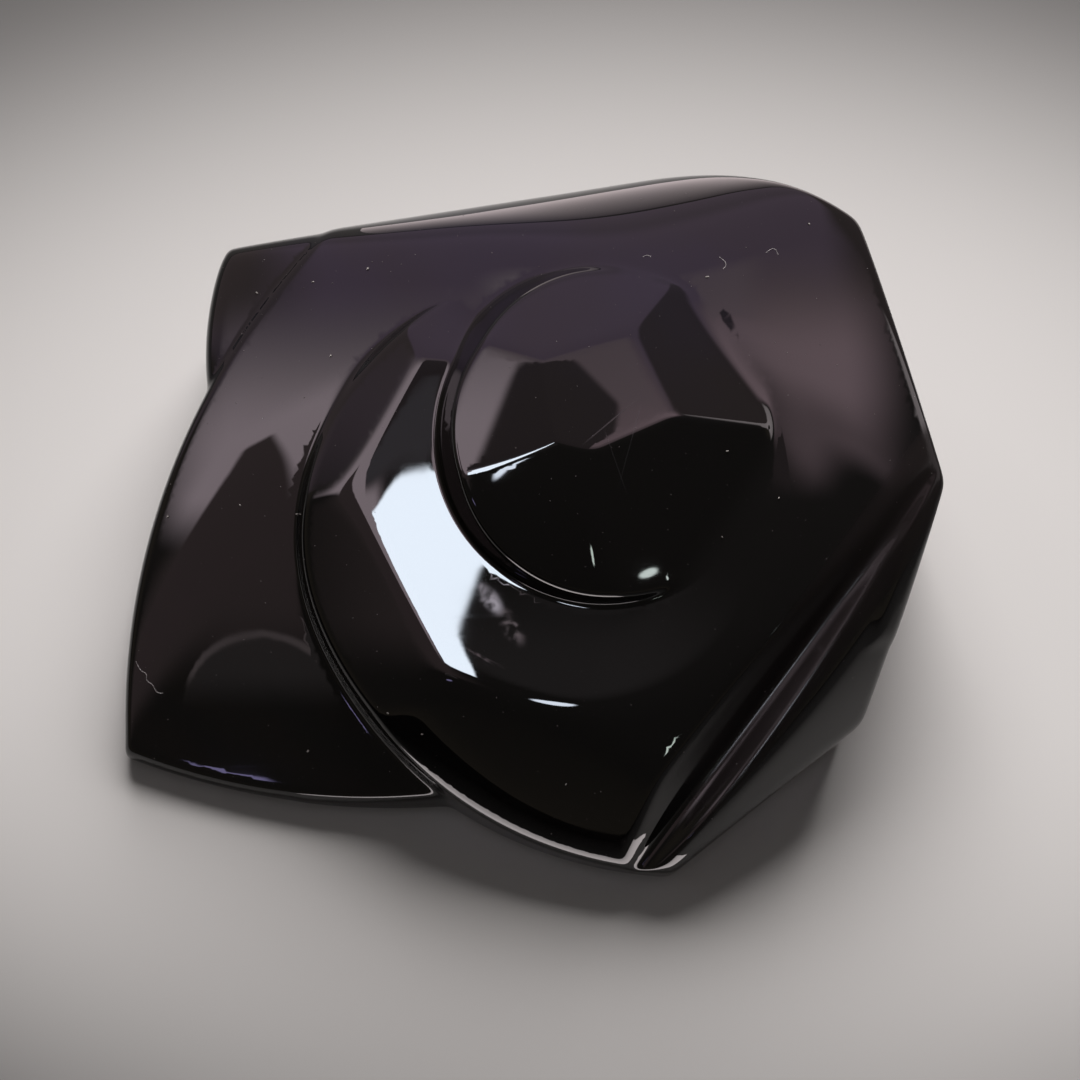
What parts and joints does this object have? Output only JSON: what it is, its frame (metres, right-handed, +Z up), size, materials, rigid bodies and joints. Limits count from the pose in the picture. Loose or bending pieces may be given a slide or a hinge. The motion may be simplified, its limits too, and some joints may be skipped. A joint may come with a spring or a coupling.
{
  "type": "obsidian chunk",
  "caption": "Polished black obsidian freeform, carved as a spiral of stepped petals round a low faceted dome, with a flat base to lie on.",
  "frame": {"origin": "centre of the stone's footprint box, on its flat base", "axes": "+Z up from the flat base; +X along the longest side, to the right as the carved face is seen; +Y towards the high far edge"},
  "size_m": [0.0914, 0.0774, 0.043],
  "materials": {
    "obsidian": "mirror polish"
  },
  "bodies": {
    "root": {"obsidian_chunk": "obsidian"}
  },
  "joints": []
}
